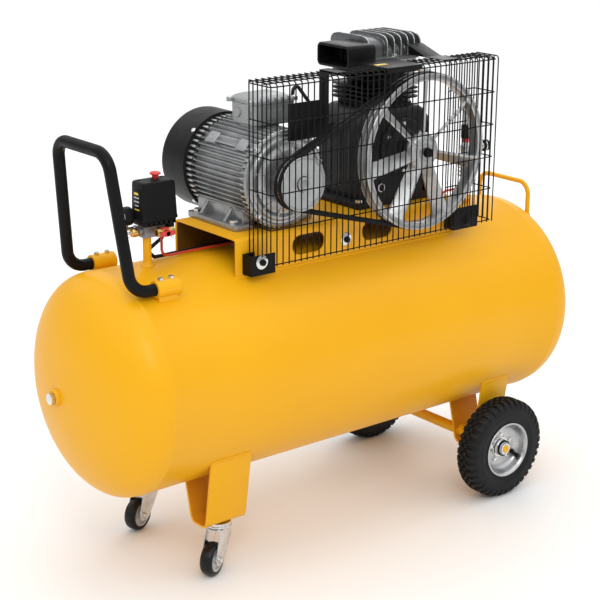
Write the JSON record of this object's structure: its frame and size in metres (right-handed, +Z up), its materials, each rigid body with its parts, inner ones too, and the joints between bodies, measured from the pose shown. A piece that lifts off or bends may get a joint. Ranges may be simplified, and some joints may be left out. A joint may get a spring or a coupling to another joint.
{
  "type": "air compressor",
  "caption": "Wheeled belt-driven piston air compressor on a horizontal tank, with electric motor, wire belt guard, pressure switch and push handle.",
  "frame": {"origin": "on the floor under the middle of the overall length and width", "axes": "+X along the tank towards the main wheels and the pump, +Y away from the belt guard, +Z up"},
  "size_m": [1.444, 0.558, 1.158],
  "materials": {
    "yellow_paint": "satin-gloss yellow enamel",
    "black_paint": "satin black enamel",
    "rim_paint": "satin silver enamel",
    "black_iron": "black painted casting",
    "grey_iron": "light grey painted casting",
    "zinc_steel": "zinc plated",
    "bare_steel": "ground",
    "core_steel": "stacked laminations",
    "cast_aluminium": "as cast",
    "motor_aluminium": "satin silver",
    "zinc_casting": "die cast",
    "brass": "machined",
    "black_plastic": "fine texture",
    "grey_plastic": "smooth",
    "red_plastic": "gloss",
    "belt_rubber": "matt, fabric backed",
    "caster_rubber": "matt",
    "cable_rubber": "satin",
    "tyre_rubber": "matt"
  },
  "bodies": {
    "frame": {"tank_barrel": "yellow_paint", "tank_ends": "yellow_paint", "tank_plugs": "zinc_steel", "mounting_deck": "yellow_paint", "cable_glands": "black_plastic", "caster_feet": "yellow_paint", "wheel_legs": "yellow_paint", "axle": "yellow_paint", "caster_mounts": "zinc_steel", "push_handle": "black_paint", "handle_sleeves": "yellow_paint", "m8_screws": "zinc_steel", "lifting_handle": "yellow_paint", "standpipe": "yellow_paint", "switch_manifold": "zinc_casting", "switch_base": "black_plastic", "switch_cover": "black_plastic", "safety_valve": "brass", "pressure_gauge": "black_plastic", "outlet_valve": "brass", "unloader_pipe": "red_plastic", "motor_cable": "cable_rubber", "check_valve": "brass", "discharge_pipe": "cast_aluminium", "motor_housing": "motor_aluminium", "motor_stator": "core_steel", "motor_shields": "motor_aluminium", "ball_bearings": "bare_steel", "motor_fan_cover": "black_plastic", "m10_bolts": "zinc_steel", "terminal_box": "grey_plastic", "terminal_lid": "grey_plastic", "drive_belts": "belt_rubber", "crankcase": "black_iron", "crankcase_covers": "black_iron", "oil_fittings": "red_plastic", "cylinder_block": "black_iron", "valve_plate": "bare_steel", "pistons": "cast_aluminium", "cylinder_head": "cast_aluminium", "filter_housing": "black_plastic", "belt_guard": "black_paint", "guard_brackets": "black_paint", "guard_bolts": "zinc_steel", "guard_plates": "black_paint"},
    "crank": {"flywheel": "cast_aluminium", "crankshaft": "bare_steel"},
    "motor": {"motor_rotor": "bare_steel", "motor_fan": "black_plastic", "motor_pulley": "grey_iron"},
    "wheel_front": {"tyre_front": "tyre_rubber", "rim_front": "rim_paint"},
    "wheel_rear": {"tyre_rear": "tyre_rubber", "rim_rear": "rim_paint"},
    "caster_swivel_front": {"caster_fork_front": "zinc_steel"},
    "caster_roll_front": {"caster_wheel_front": "caster_rubber"},
    "caster_swivel_rear": {"caster_fork_rear": "zinc_steel"},
    "caster_roll_rear": {"caster_wheel_rear": "caster_rubber"},
    "knob": {"switch_knob": "red_plastic"},
    "valve_handle": {"outlet_valve_handle": "red_plastic"}
  },
  "joints": [
    {"name": "crank_turn", "type": "hinge", "parent": "frame", "child": "crank", "pos_m": [0.19, -0.156, 0.896], "axis": [0, 1, 0], "continuous": true},
    {"name": "motor_turn", "type": "hinge", "parent": "frame", "child": "motor", "pos_m": [-0.176, 0, 0.871], "axis": [0, 1, 0], "continuous": true},
    {"name": "wheel_front_roll", "type": "hinge", "parent": "frame", "child": "wheel_front", "pos_m": [0.401, -0.246, 0.127], "axis": [0, 1, 0], "continuous": true},
    {"name": "wheel_rear_roll", "type": "hinge", "parent": "frame", "child": "wheel_rear", "pos_m": [0.401, 0.246, 0.127], "axis": [0, 1, 0], "continuous": true},
    {"name": "caster_front_swivel", "type": "hinge", "parent": "frame", "child": "caster_swivel_front", "pos_m": [-0.4, -0.15, 0.1], "axis": [0, 0, 1], "continuous": true},
    {"name": "caster_front_roll", "type": "hinge", "parent": "caster_swivel_front", "child": "caster_roll_front", "pos_m": [-0.43179, -0.1669, 0.039], "axis": [-0.4695, 0.8829, 0], "continuous": true},
    {"name": "caster_rear_swivel", "type": "hinge", "parent": "frame", "child": "caster_swivel_rear", "pos_m": [-0.4, 0.15, 0.1], "axis": [0, 0, 1], "continuous": true},
    {"name": "caster_rear_roll", "type": "hinge", "parent": "caster_swivel_rear", "child": "caster_roll_rear", "pos_m": [-0.43383, 0.13769, 0.039], "axis": [-0.342, 0.9397, 0], "continuous": true},
    {"name": "knob_press", "type": "slide", "parent": "frame", "child": "knob", "axis": [0, 0, 1], "range_m": [-0.005, 0]},
    {"name": "valve_handle_turn", "type": "hinge", "parent": "frame", "child": "valve_handle", "pos_m": [-0.457, -0.05, 0.779], "axis": [0, 1, 0], "range_deg": [0, 90]}
  ],
  "couplings": [
    {"joint": "motor_turn", "follows": "crank_turn", "ratio": 3.1034}
  ]
}
